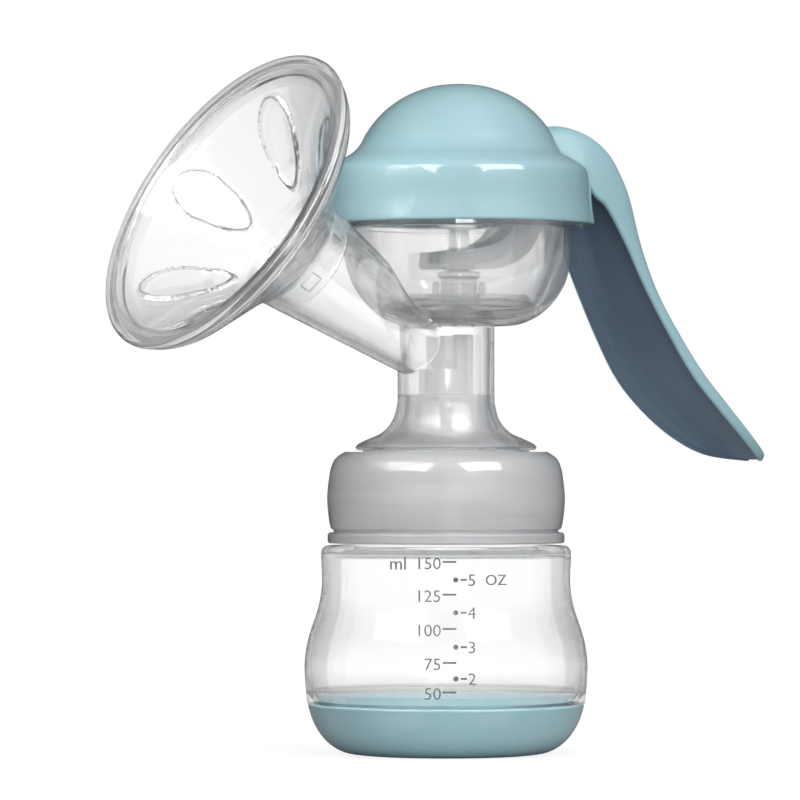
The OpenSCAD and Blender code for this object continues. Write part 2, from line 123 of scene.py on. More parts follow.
def rounded(points, radius, steps=4):
    """A closed outline with each corner replaced by a small curve."""
    out = []
    count = len(points)
    for i, p in enumerate(points):
        p, a, b = Vector(p), Vector(points[i - 1]), Vector(points[(i + 1) % count])
        r = radius[i] if isinstance(radius, (list, tuple)) else radius
        if r <= 0:
            out.append(tuple(p))
            continue
        u, v = a - p, b - p
        r = min(r, u.length * 0.45, v.length * 0.45)
        start, end = p + u.normalized() * r, p + v.normalized() * r
        for k in range(steps + 1):
            t = k / steps
            out.append(tuple(start * (1 - t) ** 2 + p * 2 * t * (1 - t) + end * t * t))
    return out


def shifted(points, d, dz=0):
    return [(max(r + d, 0), z + dz) for r, z in points]


def paint(mesh, zones, materials=()):
    """Adds materials to a mesh and gives each face the one that its zone number says."""
    for material in materials:
        mesh.materials.append(material)
    for polygon, zone in zip(mesh.polygons, zones):
        polygon.material_index = zone


def new_object(name, verts, faces, smooth=True, angle=35, zones=()):
    """A mesh object from millimetre points, with outward normals and sharp edges kept sharp."""
    mesh = bpy.data.meshes.new(name)
    mesh.from_pydata([Vector(v) * MM for v in verts], [], faces)
    mesh.validate()
    paint(mesh, zones)
    obj = bpy.data.objects.new(name, mesh)
    bpy.context.scene.collection.objects.link(obj)
    clean(obj, smooth, angle)
    return obj


def clean(obj, smooth=True, angle=35):
    bm = bmesh.new()
    bm.from_mesh(obj.data)
    bmesh.ops.remove_doubles(bm, verts=bm.verts, dist=2e-6)
    bmesh.ops.recalc_face_normals(bm, faces=bm.faces)
    bm.to_mesh(obj.data)
    bm.free()
    for polygon in obj.data.polygons:
        polygon.use_smooth = smooth
    if smooth:
        obj.data.set_sharp_from_angle(angle=radians(angle))


def lathe(name, outline, place=Matrix.Identity(4), segments=128, angle=35):
    """A solid turned about Z from a closed outline of (radius, height) points, then placed."""
    rings, verts = [], []
    for r, z in outline:
        if r < 1e-6:
            rings.append([len(verts)])
            verts.append(place @ Vector((0, 0, z)))
        else:
            rings.append(list(range(len(verts), len(verts) + segments)))
            verts += [place @ Vector((r * cos(tau * k / segments), r * sin(tau * k / segments), z))
                      for k in range(segments)]
    faces = []
    for i, a in enumerate(rings):
        b = rings[(i + 1) % len(rings)]
        if len(a) == 1 and len(b) == 1:
            continue
        for k in range(segments):
            quad = [a[k % len(a)], a[(k + 1) % len(a)], b[(k + 1) % len(b)], b[k % len(b)]]
            faces.append([v for n, v in enumerate(quad) if v not in quad[:n]])
    return new_object(name, verts, faces, angle=angle)


def on_bowl():
    return Matrix.Translation((BOWL_X, 0, 0))


def on_horn():
    return Matrix.Translation((0, 0, HORN_Z)) @ Matrix.Rotation(radians(HORN_TILT - 90), 4, "Y")


def between(name, near, far):
    """A closed solid from one outline to another with as many points."""
    count = len(near)
    faces = [list(range(count)), list(range(2 * count - 1, count - 1, -1))]
    faces += [[i, (i + 1) % count, count + (i + 1) % count, count + i] for i in range(count)]
    return new_object(name, near + far, faces)


def prism(name, outline, half, centre_y=0, bevel=0.0):
    """A side-view outline in X and Z, extruded to half on both sides of centre_y."""
    obj = between(name, *([(x, y, z) for x, z in outline] for y in (centre_y - half, centre_y + half)))
    if bevel:
        add_bevel(obj, bevel)
    return obj


def apply_modifiers(obj):
    bpy.context.view_layer.update()
    evaluated = obj.evaluated_get(bpy.context.evaluated_depsgraph_get())
    mesh = bpy.data.meshes.new_from_object(evaluated)
    old = obj.data
    obj.modifiers.clear()
    obj.data = mesh
    bpy.data.meshes.remove(old)


def add_bevel(obj, width, segments=3, angle=40):
    bevel = obj.modifiers.new("bevel", "BEVEL")
    bevel.width = width * MM
    bevel.segments = segments
    bevel.limit_method = "ANGLE"
    bevel.angle_limit = radians(angle)
    bevel.harden_normals = False
    apply_modifiers(obj)
    clean(obj)


def combine(obj, others, operation):
    """Exact union or difference with other closed meshes, which are used up."""
    for other in others:
        boolean = obj.modifiers.new(operation, "BOOLEAN")
        boolean.operation = operation
        boolean.solver = "EXACT"
        boolean.object = other
        apply_modifiers(obj)
        bpy.data.objects.remove(other)
    clean(obj)
    return obj


def join(obj, others):
    """Puts other meshes into this one as separate closed shells."""
    bm = bmesh.new()
    for part in [obj] + others:
        bm.from_mesh(part.data)
    bm.to_mesh(obj.data)
    bm.free()
    for other in others:
        bpy.data.objects.remove(other)
    clean(obj)
    return obj


def ridge(name, r, rise, z0, start, span, half=0.8, steps=48):
    """A helical thread ridge that runs out at both ends."""
    verts = []
    for i in range(steps + 1):
        part = i / steps
        fade = min(1, 6 * part, 6 * (1 - part))
        angle = radians(start + span * part)
        z = z0 + THREAD_LEAD * span * part / 360
        root = r - 0.3 * (1 if rise > 0 else -1)
        crest = r + rise * fade
        for radius, dz in ((root, -half), (crest, -half * 0.5), (crest, half * 0.5), (root, half)):
            verts.append((radius * cos(angle), radius * sin(angle), z + dz))
    faces = [[4 * i + k, 4 * i + (k + 1) % 4, 4 * i + 4 + (k + 1) % 4, 4 * i + 4 + k]
             for i in range(steps) for k in range(4)]
    faces += [[0, 1, 2, 3], [4 * steps + k for k in (3, 2, 1, 0)]]
    return new_object(name, verts, faces)


# ---- materials ----------------------------------------------------------------------

def srgb(r, g, b):
    """A colour read as 0 to 255 values, made linear."""
    return tuple(c / 255 / 12.92 if c <= 10 else ((c / 255 + 0.055) / 1.055) ** 2.4
                 for c in (r, g, b)) + (1,)


class Nodes:
    """A short way to write a node tree."""

    def __init__(self, name):
        self.material = bpy.data.materials.new(name)
        self.material.use_nodes = True
        self.tree = self.material.node_tree
        self.shader = self.tree.nodes["Principled BSDF"]
        self.coordinates = self.add("ShaderNodeTexCoord").outputs["Object"]

    def add(self, kind, **values):
        node = self.tree.nodes.new(kind)
        for key, value in values.items():
            if key in node.inputs:
                node.inputs[key].default_value = value
            else:
                setattr(node, key, value)
        return node

    def link(self, a, b):
        self.tree.links.new(a, b)

    def noise(self, scale, detail=3.0, roughness=0.5, stretch=(1, 1, 1)):
        mapping = self.add("ShaderNodeMapping")
        mapping.inputs["Scale"].default_value = stretch
        self.link(self.coordinates, mapping.inputs["Vector"])
        noise = self.add("ShaderNodeTexNoise")
        noise.inputs["Scale"].default_value = scale
        noise.inputs["Detail"].default_value = detail
        noise.inputs["Roughness"].default_value = roughness
        self.link(mapping.outputs["Vector"], noise.inputs["Vector"])
        return noise.outputs["Fac"]

    def ramp(self, factor, stops):
        ramp = self.add("ShaderNodeValToRGB")
        while len(ramp.color_ramp.elements) < len(stops):
            ramp.color_ramp.elements.new(0.5)
        for element, (position, colour) in zip(ramp.color_ramp.elements, stops):
            element.position = position
            element.color = colour if len(colour) == 4 else tuple(colour) + (1,)
        self.link(factor, ramp.inputs["Fac"])
        return ramp.outputs["Color"]

    def spread(self, factor, low, high):
        node = self.add("ShaderNodeMapRange")
        node.inputs["From Min"].default_value = 0.3
        node.inputs["From Max"].default_value = 0.7
        node.inputs["To Min"].default_value = low
        node.inputs["To Max"].default_value = high
        self.link(factor, node.inputs["Value"])
        return node.outputs["Result"]

    def colour(self, factor, stops):
        self.link(self.ramp(factor, stops), self.shader.inputs["Base Color"])

    def rough(self, factor, low, high):
        self.link(self.spread(factor, low, high), self.shader.inputs["Roughness"])

    def bump(self, layers):
        """Bumps from (height, distance in mm, strength), one on another."""
        normal = None
        for height, distance, strength in layers:
            node = self.add("ShaderNodeBump")
            node.inputs["Distance"].default_value = distance * MM
            node.inputs["Strength"].default_value = strength
            self.link(height, node.inputs["Height"])
            if normal:
                self.link(normal, node.inputs["Normal"])
            normal = node.outputs["Normal"]
        self.link(normal, self.shader.inputs["Normal"])

    def facing(self, blend):
        layer = self.add("ShaderNodeLayerWeight")
        layer.inputs["Blend"].default_value = blend
        return layer.outputs["Facing"]

    def set(self, **values):
        for key, value in values.items():
            self.shader.inputs[key.replace("_", " ")].default_value = value


def moulded_plastic(name, light, dark, roughness=(0.34, 0.46), coat=0.9):
    """Glossy injection-moulded plastic: faint flow mottling, orange peel and fine dust of roughness."""
    m = Nodes(name)
    m.colour(m.noise(28, 4), [(0.35, dark), (0.65, light)])
    m.rough(m.noise(160, 5), *roughness)
    m.bump([(m.noise(160, 2), 0.03, 0.06), (m.noise(1600, 2), 0.008, 0.10)])
    m.set(IOR=1.5, Coat_Weight=coat, Coat_Roughness=0.035, Specular_IOR_Level=0.3)
    m.set(Subsurface_Weight=0.08, Subsurface_Radius=(0.004, 0.005, 0.006), Subsurface_Scale=0.4)
    return m.material


def clear_plastic(name, face=(0.985, 0.987, 0.99), edge=(0.50, 0.51, 0.52), roughness=(0.0, 0.03), ior=1.3,
                  blend=0.5):
    """Polished clear polymer with slight moulding waves; painted shade greys its colour toward grazing edges.
    """
    m = Nodes(name)
    # Painted shade: the colour turns from face to edge where the surface turns away from view.
    m.colour(m.facing(blend), [(0.25, face), (0.95, edge)])
    m.rough(m.noise(70, 4), *roughness)
    m.bump([(m.noise(45, 2), 0.08, 0.08), (m.noise(500, 2), 0.008, 0.05)])
    m.set(IOR=ior, Transmission_Weight=1.0, Specular_IOR_Level=0.5, Alpha=0.72)
    return m.material


def translucent(name, colour, edge, roughness, transmission, bump=0.03, sheen=0.0, ior=1.35, scatter=0.35,
                blend=0.4, streaks=0.0):
    """Frosted polymer or silicone: part clear, part milky, with a fine surface grain, and painted shade
    toward the edge colour at grazing edges.
    """
    m = Nodes(name)
    # Painted shade: the colour turns to the edge colour where the surface turns away from view.
    colour_with_edge_shade = m.ramp(m.facing(blend), [(0.2, colour), (0.95, edge)])
    low = 0.97 - streaks
    mottling = m.ramp(m.noise(35, 4, stretch=(0.6, 0.7, 7 if streaks else 1)),
                      [(0.3, (low, low, low)), (0.7, (1, 1, 1))])
    mix = m.add("ShaderNodeMix", data_type="RGBA", blend_type="MULTIPLY")
    mix.inputs["Factor"].default_value = 1.0
    m.link(colour_with_edge_shade, mix.inputs[6])
    m.link(mottling, mix.inputs[7])
    m.link(mix.outputs[2], m.shader.inputs["Base Color"])
    m.rough(m.noise(120, 4), *roughness)
    m.bump([(m.noise(60, 2), 0.1, bump), (m.noise(900, 2), 0.008, 0.08)])
    m.set(IOR=ior, Transmission_Weight=transmission, Sheen_Weight=sheen, Coat_Weight=1.0, Coat_Roughness=0.04)
    m.set(Subsurface_Weight=scatter, Subsurface_Radius=(0.008, 0.008, 0.008), Subsurface_Scale=0.6)
    return m.material


def ink(name):
    """Grey moulded-in marking with worn, uneven cover."""
    m = Nodes(name)
    m.colour(m.noise(900, 3), [(0.35, srgb(82, 85, 90)), (0.7, srgb(122, 124, 129))])
    m.rough(m.noise(400, 3), 0.45, 0.7)
    m.bump([(m.noise(2500, 2), 0.02, 0.3)])
    return m.material


def steel(name):
    """Turned stainless steel with fine rings along its length."""
    m = Nodes(name)
    lines = m.noise(300, 2, stretch=(1, 8, 1))
    m.colour(lines, [(0.3, (0.55, 0.56, 0.57)), (0.7, (0.72, 0.73, 0.74))])
    m.rough(lines, 0.22, 0.38)
    m.bump([(lines, 0.02, 0.3)])
    m.set(Metallic=1.0)
    return m.material


BLUE = moulded_plastic("blue_moulded", srgb(158, 194, 200), srgb(152, 188, 195))
BLUE_LEVER = moulded_plastic("blue_lever", srgb(158, 194, 200), srgb(152, 188, 195), (0.42, 0.52), 0.08)
# A darker copy of the blue: painted shade for the inside of the lever's trough.
BLUE_PAINTED_SHADE = moulded_plastic("blue_painted_shade", srgb(102, 119, 138), srgb(95, 112, 131), coat=0.1)
WHITE = moulded_plastic("white_moulded", srgb(206, 208, 209), srgb(194, 196, 198), (0.3, 0.42), 0.1)
GREY = moulded_plastic("grey_moulded", srgb(204, 205, 206), srgb(194, 195, 196), (0.3, 0.42), 0.3)
# The second colour of each clear material is painted shade at its grazing edges: darkest on the bottle's
# wall, faint on its foot and shoulder.
CLEAR = clear_plastic("clear_polished")
CLEAR_BOTTLE = clear_plastic("clear_bottle", edge=(0.35, 0.36, 0.37), ior=1.18, blend=0.2)
CLEAR_EDGE = clear_plastic("clear_bottle_edge", edge=(0.8, 0.805, 0.81), ior=1.05)
# The bottle's floor is painted the pale blue of the base cup seen through it, greyer toward its grazing edges
# as painted shade.
FLOOR_PAINTED_BLUE = translucent("bottle_floor", srgb(176, 206, 212), srgb(150, 182, 190), (0.1, 0.2), 0.25,
                         scatter=0.2)
FROST = translucent("frosted_collar", (0.76, 0.762, 0.765), (0.76, 0.762, 0.765), (0.29, 0.37), 0.45,
                    scatter=0.0, streaks=0.12)
MILKY = translucent("milky_sleeve", (0.78, 0.78, 0.782), (0.78, 0.78, 0.782), (0.29, 0.35), 0.7,
                    scatter=0.0, ior=1.15)
# PARTS, SILICONE and MEMBRANE grey toward their edge colours at grazing edges: painted shade.
PARTS = translucent("milky_part", (0.97, 0.97, 0.97), (0.74, 0.743, 0.746), (0.12, 0.2), 0.75, scatter=0.0,
                    ior=1.2)
# Dark silicone along each petal's edge: a painted shade line, darker still toward its grazing edges.
PETAL_SHADE_LINE = translucent("petal_edge_painted_shade", (0.3, 0.303, 0.306), (0.2, 0.203, 0.206), (0.03, 0.08), 0.9, scatter=0.0)
SILICONE = translucent("clear_silicone", (0.975, 0.978, 0.98), (0.62, 0.63, 0.64), (0.03, 0.08), 0.97,
                       sheen=0.05, scatter=0.0, ior=1.33)
# The rim is coloured greyer than the thin wall, and painted shade makes it much darker toward its grazing
# edges.
RIM = translucent("thick_silicone", (0.80, 0.803, 0.806), (0.26, 0.265, 0.27), (0.06, 0.12), 0.85,
                  scatter=0.1)
MEMBRANE = translucent("diaphragm_silicone", (0.995, 0.996, 0.997), (0.85, 0.855, 0.86), (0.0, 0.03), 0.98,
                       scatter=0.0, ior=1.12, bump=0.01)
INK = ink("grey_marking")
STEEL = steel("turned_steel")


def finish_piece(obj, body, slot, material, *nodes):
    """Gives a piece its material and body, and lets it stand for its CAD nodes; slot is not used."""
    obj.data.materials.clear()
    obj.data.materials.append(material)
    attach(obj, body)
    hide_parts(*nodes)
    return obj


# ---- camera, light and floor ----------------------------------------------------------

def add_camera():
    """The camera stands 1.37 m away, level with the collar."""
    distance, sensor, pixels = 1370, 36, 800
    mm_per_pixel = 0.25
    yaw = radians(PHOTO_YAW)
    back = Vector((-sin(yaw), -cos(yaw), 0))
    right = Vector((cos(yaw), -sin(yaw), 0))
    height, side, pitch = 75.1, 11.5, 0.554
    camera = bpy.data.objects.new("camera", bpy.data.cameras.new("camera"))
    bpy.context.scene.collection.objects.link(camera)
    camera.location = (back * distance - right * side + Vector((0, 0, height))) * MM
    camera.rotation_euler = (radians(90 + pitch), 0, -yaw)
    camera.data.sensor_width = sensor
    camera.data.lens = sensor * distance / mm_per_pixel / pixels
    camera.data.clip_start = 0.05
    bpy.context.scene.camera = camera


def softbox(name, azimuth, elevation, distance, size, power, gloss=False):
    """A rectangular lamp, placed by its bearing from the camera's side of the pump."""
    target = Vector((0, 0, 110)) * MM
    bearing = radians(azimuth) - radians(PHOTO_YAW)
    direction = Vector((sin(bearing) * cos(radians(elevation)), -cos(bearing) * cos(radians(elevation)),
                        sin(radians(elevation))))
    lamp = bpy.data.objects.new(name, bpy.data.lights.new(name, "AREA"))
    bpy.context.scene.collection.objects.link(lamp)
    lamp.data.shape = "RECTANGLE"
    lamp.data.size, lamp.data.size_y = size
    lamp.data.energy = power
    lamp.location = target + direction * distance
    lamp.rotation_euler = (-direction).to_track_quat("-Z", "Y").to_euler()
    lamp.visible_diffuse = not gloss
    lamp.visible_glossy = gloss


def add_world():
    """Soft light from above and in front; the camera, and rays through plastic, see plain white instead."""
    world = bpy.data.worlds.new("studio")
    bpy.context.scene.world = world
    world.use_nodes = True
    tree = world.node_tree
    tree.nodes.clear()
    add = tree.nodes.new
    link = tree.links.new
    coordinates, toward, ramp = (add("ShaderNode" + kind) for kind in ("TexCoord", "VectorMath", "ValToRGB"))
    toward.operation = "DOT_PRODUCT"
    bearing = radians(14 - PHOTO_YAW)
    toward.inputs[1].default_value = Vector((sin(bearing), -cos(bearing), 1.0)).normalized()
    link(coordinates.outputs["Generated"], toward.inputs[0])
    height = add("ShaderNodeMapRange")
    height.inputs["From Min"].default_value = -1
    link(toward.outputs["Value"], height.inputs["Value"])
    link(height.outputs["Result"], ramp.inputs["Fac"])
    elements = ramp.color_ramp.elements
    stops = ((elements[0], 0.2, 0.05), (elements.new(0.5), 0.5, 0.12), (elements[-1], 0.95, 0.75))
    for element, position, level in stops:
        element.position = position
        element.color = (level * 0.97, level, level * 1.05, 1)
    path = add("ShaderNodeLightPath")
    reflected, lighting, seen = (add("ShaderNodeMath") for _ in range(3))
    reflected.operation = "SUBTRACT"
    link(path.outputs["Is Glossy Ray"], reflected.inputs[0])
    link(path.outputs["Is Transmission Ray"], reflected.inputs[1])
    lighting.operation = "MAXIMUM"
    link(path.outputs["Is Diffuse Ray"], lighting.inputs[0])
    link(reflected.outputs[0], lighting.inputs[1])
    seen.operation = "SUBTRACT"
    seen.inputs[0].default_value = 1.0
    link(lighting.outputs[0], seen.inputs[1])
    mix = add("ShaderNodeMix")
    mix.data_type = "RGBA"
    link(seen.outputs[0], mix.inputs["Factor"])
    link(ramp.outputs["Color"], mix.inputs[6])
    mix.inputs[7].default_value = (1.02, 1.02, 1.02, 1)
    background, output = add("ShaderNodeBackground"), add("ShaderNodeOutputWorld")
    link(mix.outputs[2], background.inputs["Color"])
    link(background.outputs[0], output.inputs["Surface"])


def add_floor():
    """A pale floor that fades into the white surroundings."""
    reach = 900
    obj = new_object("floor", [(-reach, -reach, 0), (reach, -reach, 0), (reach, reach, 0),
                               (-reach, reach, 0)],
                     [(0, 1, 2, 3)], smooth=False)
    m = Nodes("white_floor")
    m.colour(m.noise(6, 2), [(0.3, (0.48, 0.48, 0.48)), (0.7, (0.5, 0.5, 0.5))])
    m.link(m.add("ShaderNodeLightPath").outputs["Is Camera Ray"], m.shader.inputs["Emission Strength"])
    length = m.add("ShaderNodeVectorMath", operation="LENGTH")
    m.link(m.coordinates, length.inputs[0])
    fade = m.add("ShaderNodeMapRange", interpolation_type="SMOOTHSTEP")
    for key, value in (("From Min", 0.12), ("From Max", 0.45), ("To Min", 1.0), ("To Max", 0.0)):
        fade.inputs[key].default_value = value
    m.link(length.outputs["Value"], fade.inputs["Value"])
    m.link(fade.outputs["Result"], m.shader.inputs["Alpha"])
    m.set(Specular_IOR_Level=0.6, Roughness=0.12)
    m.shader.inputs["Emission Color"].default_value = (0.84, 0.84, 0.84, 1)
    obj.data.materials.append(m.material)


add_camera()
add_world()
add_floor()
softbox("window_left", -44, 35, 0.9, (0.74, 0.42), 9.5, gloss=True)
softbox("window_right", 40, 35, 0.9, (0.6, 0.42), 8, gloss=True)
softbox("key", 20, 72, 1.1, (0.5, 0.5), 5.5)
softbox("fill", 6, 2, 1.0, (0.35, 0.18), 3)
scene = bpy.context.scene
scene.view_settings.view_transform = "Standard"
scene.cycles.max_bounces = 24
scene.cycles.transmission_bounces = 20
scene.cycles.transparent_max_bounces = 20


# ---- bottle unit ----------------------------------------------------------------------

body_line = spline([(BOTTLE_R - 0.6, BASE_H + 0.3), (BOTTLE_R - 0.1, 18.4), (BOTTLE_R, 23),
                    (BOTTLE_R - 0.7, 28), ((BOTTLE_R + WAIST_R) / 2 + 0.2, 32.2), (WAIST_R + 0.8, 37),
                    (WAIST_R, 42.5), (WAIST_R + 0.2, 48.5)])


def bottle_radius(z):
    """Outer radius of the bottle's body at a height."""
    for (r0, z0), (r1, z1) in zip(body_line, body_line[1:]):
        if z0 <= z <= z1:
            return r0 + (r1 - r0) * (z - z0) / (z1 - z0)
    return body_line[-1][0]


def bottle_zone(centre):
    """0 for a face of the bottle's wall, 1 for its floor, 2 for its foot and shoulder."""
    x, y, z = centre / MM
    if z < BASE_H + 1 and (x * x + y * y) ** 0.5 < BOTTLE_R - 2.6:
        return 1
    return 2 if z < BASE_H + 3 or z > SHOULDER_Z - 2.3 else 0


def make_bottle():
    foot = spline([(20, 4.2), (26, 4.6), (29.6, 6.6), (31.6, 9.4), (32.2, BASE_H + 0.3)])
    outer = [(0, 4.2)] + foot + [(BOTTLE_R - 0.9, BASE_H + 0.3)] + body_line
    outer += arc(WAIST_R - 1.6, SHOULDER_Z - 1.8, 1.8, 0, 90, 8) + [(NECK_OUT + 0.6, SHOULDER_Z)]
    outer += arc(NECK_OUT + 0.6, SHOULDER_Z + 0.6, 0.6, -90, -180, 4) + [(NECK_OUT, MOUTH_Z - 0.6)]
    outer += arc(NECK_OUT - 0.6, MOUTH_Z - 0.6, 0.6, 0, 90, 4)
    inner = [(0, 4.2 + WALL)] + spline([(20, 4.2 + WALL), (25.4, 6.3), (28.2, 7.9), (30.4, 10.8)])
    inner += [(31.6, BASE_H + 0.9)] + shifted([p for p in body_line if p[1] > BASE_H + 2], -WALL)
    inner += arc(WAIST_R - 3.2, SHOULDER_Z - 3.5, 1.8, 0, 90, 8)
    inner += [(MOUTH_R, SHOULDER_Z - 1), (MOUTH_R, MOUTH_Z)]
    obj = lathe("clear_bottle", outer + inner[::-1], segments=192)
    threads = [ridge("thread", NECK_OUT, 1.5, THREAD_Z, 360 * k / THREAD_STARTS, 90)
               for k in range(THREAD_STARTS)]
    combine(obj, threads, "UNION")
    finish_piece(obj, "bottle_unit", "clear_plastic", CLEAR_BOTTLE, "bottle")
    paint(obj.data, [bottle_zone(polygon.center) for polygon in obj.data.polygons], (FLOOR_PAINTED_BLUE, CLEAR_EDGE))


def make_base():
    side = spline([(22.5, 0), (25.5, 0.5), (28.6, 2.1), (31.3, 4.8), (33.3, 8.3), (34.45, BASE_H - 0.5)])
    outer = [(0, 0), (18.6, 0), (18.9, 0.6), (19.7, 0.6), (20, 0)] + side
    top = arc(34.1, BASE_H - 0.35, 0.35, 0, 90, 4) + [(32.4, BASE_H)]
    inner = [(32.3, BASE_H - 1.5), (31.7, 9.1), (29.9, 6.3), (26.2, 4.3), (24.5, 4.1), (24.5, 3), (18.5, 3),
             (18.5, 4.1), (0, 4.1)]
    obj = lathe("base_cup", outer + top + inner, segments=192)
    finish_piece(obj, "bottle_unit", "blue_plastic", BLUE, "bottle_base")


MARK_Z = (16.5, 23.7, 31.9, 40.2, 48.2)
ML_FIGURES = ("50", "75", "100", "125", "150")
OZ_MARKS = ((20.1, "2"), (27.8, "3"), (36.1, "4"), (44.1, "5"))
MARK_RELIEF = 0.22


def on_bottle(verts):
    """Wraps points (across, up, out) of the flat scale onto the bottle, facing the camera's side."""
    facing = radians(-90 - PHOTO_YAW)
    out = []
    for across, up, lift in verts:
        r = bottle_radius(up) + 0.02 + lift
        angle = facing + across / bottle_radius(up)
        out.append((r * cos(angle), r * sin(angle), up))
    return out


def scale_text(body, across, z, height, align):
    """Generic figures of the scale, as a thin relief on the bottle."""
    curve = bpy.data.curves.new("figures", "FONT")
    curve.body = body
    curve.size = height / 0.72
    curve.align_x = align
    curve.resolution_u = 3
    curve.extrude = MARK_RELIEF / 2
    curve.offset = -0.03
    flat = bpy.data.objects.new("figures", curve)
    bpy.context.scene.collection.objects.link(flat)
    bpy.context.view_layer.update()
    mesh = bpy.data.meshes.new_from_object(flat.evaluated_get(bpy.context.evaluated_depsgraph_get()))
    points = on_bottle([(across + v.co.x * 1.04, z - height / 2 + v.co.y, MARK_RELIEF / 2 + v.co.z)
                        for v in mesh.vertices])
    faces = [tuple(p.vertices) for p in mesh.polygons]
    bpy.data.objects.remove(flat)
    bpy.data.curves.remove(curve)
    bpy.data.meshes.remove(mesh)
    return new_object("figures", points, faces, smooth=False)


def scale_bar(left, right, z, thickness=0.45, steps=6):
    verts, faces = [], []
    for i in range(steps + 1):
        across = left + (right - left) * i / steps
        verts += [(across, z + dz, lift) for dz, lift in ((-thickness / 2, 0), (thickness / 2, 0),
                  (thickness / 2, MARK_RELIEF), (-thickness / 2, MARK_RELIEF))]
    for i in range(steps):
        faces += [[4 * i + k, 4 * i + (k + 1) % 4, 4 * i + 4 + (k + 1) % 4, 4 * i + 4 + k] for k in range(4)]
    faces += [[3, 2, 1, 0], [4 * steps + k for k in range(4)]]
    return new_object("bar", on_bottle(verts), faces, smooth=False)


def scale_dot(across, z, r=0.62, count=16):
    verts = [(across + r * cos(tau * k / count), z + r * sin(tau * k / count), lift)
             for lift in (0, MARK_RELIEF) for k in range(count)]
    faces = [list(range(count))[::-1], list(range(count, 2 * count))]
    faces += [[k, (k + 1) % count, count + (k + 1) % count, count + k] for k in range(count)]
    return new_object("dot", on_bottle(verts), faces, smooth=False)


def make_scale():
    parts = [scale_text("ml", -9.9, MARK_Z[-1], 3.3, "RIGHT"),
             scale_text("OZ", 9.4, OZ_MARKS[-1][0], 2.7, "LEFT")]
    for z, figures in zip(MARK_Z, ML_FIGURES):
        parts += [scale_bar(-1.1, 2.2, z + 0.3), scale_text(figures, -1.4, z, 3.0, "RIGHT")]
    for z, figure in OZ_MARKS:
        parts += [scale_dot(2.1, z), scale_bar(3.3, 4.8, z), scale_text(figure, 5, z, 3.0, "LEFT")]
    obj = parts[0]
    obj.name = "bottle_scale"
    bm = bmesh.new()
    for part in parts:
        bm.from_mesh(part.data)
    bm.to_mesh(obj.data)
    bm.free()
    for part in parts[1:]:
        bpy.data.objects.remove(part)
    clean(obj, smooth=False)
    finish_piece(obj, "bottle_unit", "marking", INK, "graduation_marks")


def make_base_seal():
    obj = lathe("base_ring_seal", rounded([(24.3, 3.05), (24.3, 4.15), (18.7, 4.15), (18.7, 3.05)], 0.3))
    finish_piece(obj, "bottle_unit", "silicone", SILICONE, "base_seal")


# ---- collar and valve -----------------------------------------------------------------

def make_collar():
    lip = [(COLLAR_R - 0.5, SHOULDER_Z + 0.6), (COLLAR_R - 0.1, SHOULDER_Z + 1), (COLLAR_R - 0.1, 54.7),
           (COLLAR_R - 0.5, 55.2), (28.1, 55.3), (28.1, 55.8), (COLLAR_R - 0.9, 56.3)]
    side = spline([(COLLAR_R - 0.9, 56.3), (COLLAR_R - 0.5, 58), (COLLAR_R - 0.1, 61.4), (COLLAR_R, 64.5),
                   (COLLAR_R - 0.4, 68.5), (COLLAR_R - 1, 71.6), (COLLAR_R - 2.2, 73.9),
                   (COLLAR_R - 4.4, COLLAR_TOP)], 8)
    top = [(SPIGOT_R + 0.8, COLLAR_TOP)] + arc(SPIGOT_R + 0.8, COLLAR_TOP - 0.5, 0.5, 90, 180, 4)
    inner = [(SPIGOT_R + FIT, 71.7), (25.4, 71.7), (26.5, 71), (27.4, 69.4), (27.4, SHOULDER_Z + 1.2),
             (27.9, SHOULDER_Z + 0.6)]
    obj = lathe("frosted_collar", lip + side[1:] + top + inner, segments=192)
    threads = [ridge("thread", 27.4, -1.5, THREAD_Z - 2.35, 90 * k + 2, 84) for k in range(THREAD_STARTS)]
    combine(obj, threads, "UNION")
    finish_piece(obj, "collar", "frosted_plastic", FROST, "screw_collar")


def make_snap_ring():
    obj = lathe("snap_ring", rounded([(SPIGOT_R - 0.7, 69.7), (SPIGOT_R + 1.6, 69.7), (SPIGOT_R + 1.6, 71.35),
                                      (SPIGOT_R - 0.7, 71.35)], 0.3))
    gap = prism("gap", [(SPIGOT_R - 3, 68), (SPIGOT_R + 5, 68), (SPIGOT_R + 5, 73), (SPIGOT_R - 3, 73)], 1.5)
    combine(obj, [gap], "DIFFERENCE")
    finish_piece(obj, "pump_unit", "frosted_plastic", FROST, "collar_snap_ring")


def make_mouth_seal():
    obj = lathe("mouth_ring_seal", rounded([(20.95, 67.4), (24.6, 67.4), (24.6, 69.3), (20.95, 69.3)], 0.7))
    finish_piece(obj, "pump_unit", "silicone", SILICONE, "mouth_seal")


SLEEVE_TOP = 89.6
SLEEVE_R = NECK_R - WALL - 0.15
AIR_TUBE_R = 6.8
AIR_TUBE_TOP = 104.6
NOZZLE_R = 7
DRAIN_R = 1.3
DRAIN_AT = 8.6              # how far the four drain holes stand from the neck's axis
WINDOW_X = -1.5             # the air tube is open toward the horn beyond this
WINDOW_Z = (96, 108)
WINDOW_HALF = 7


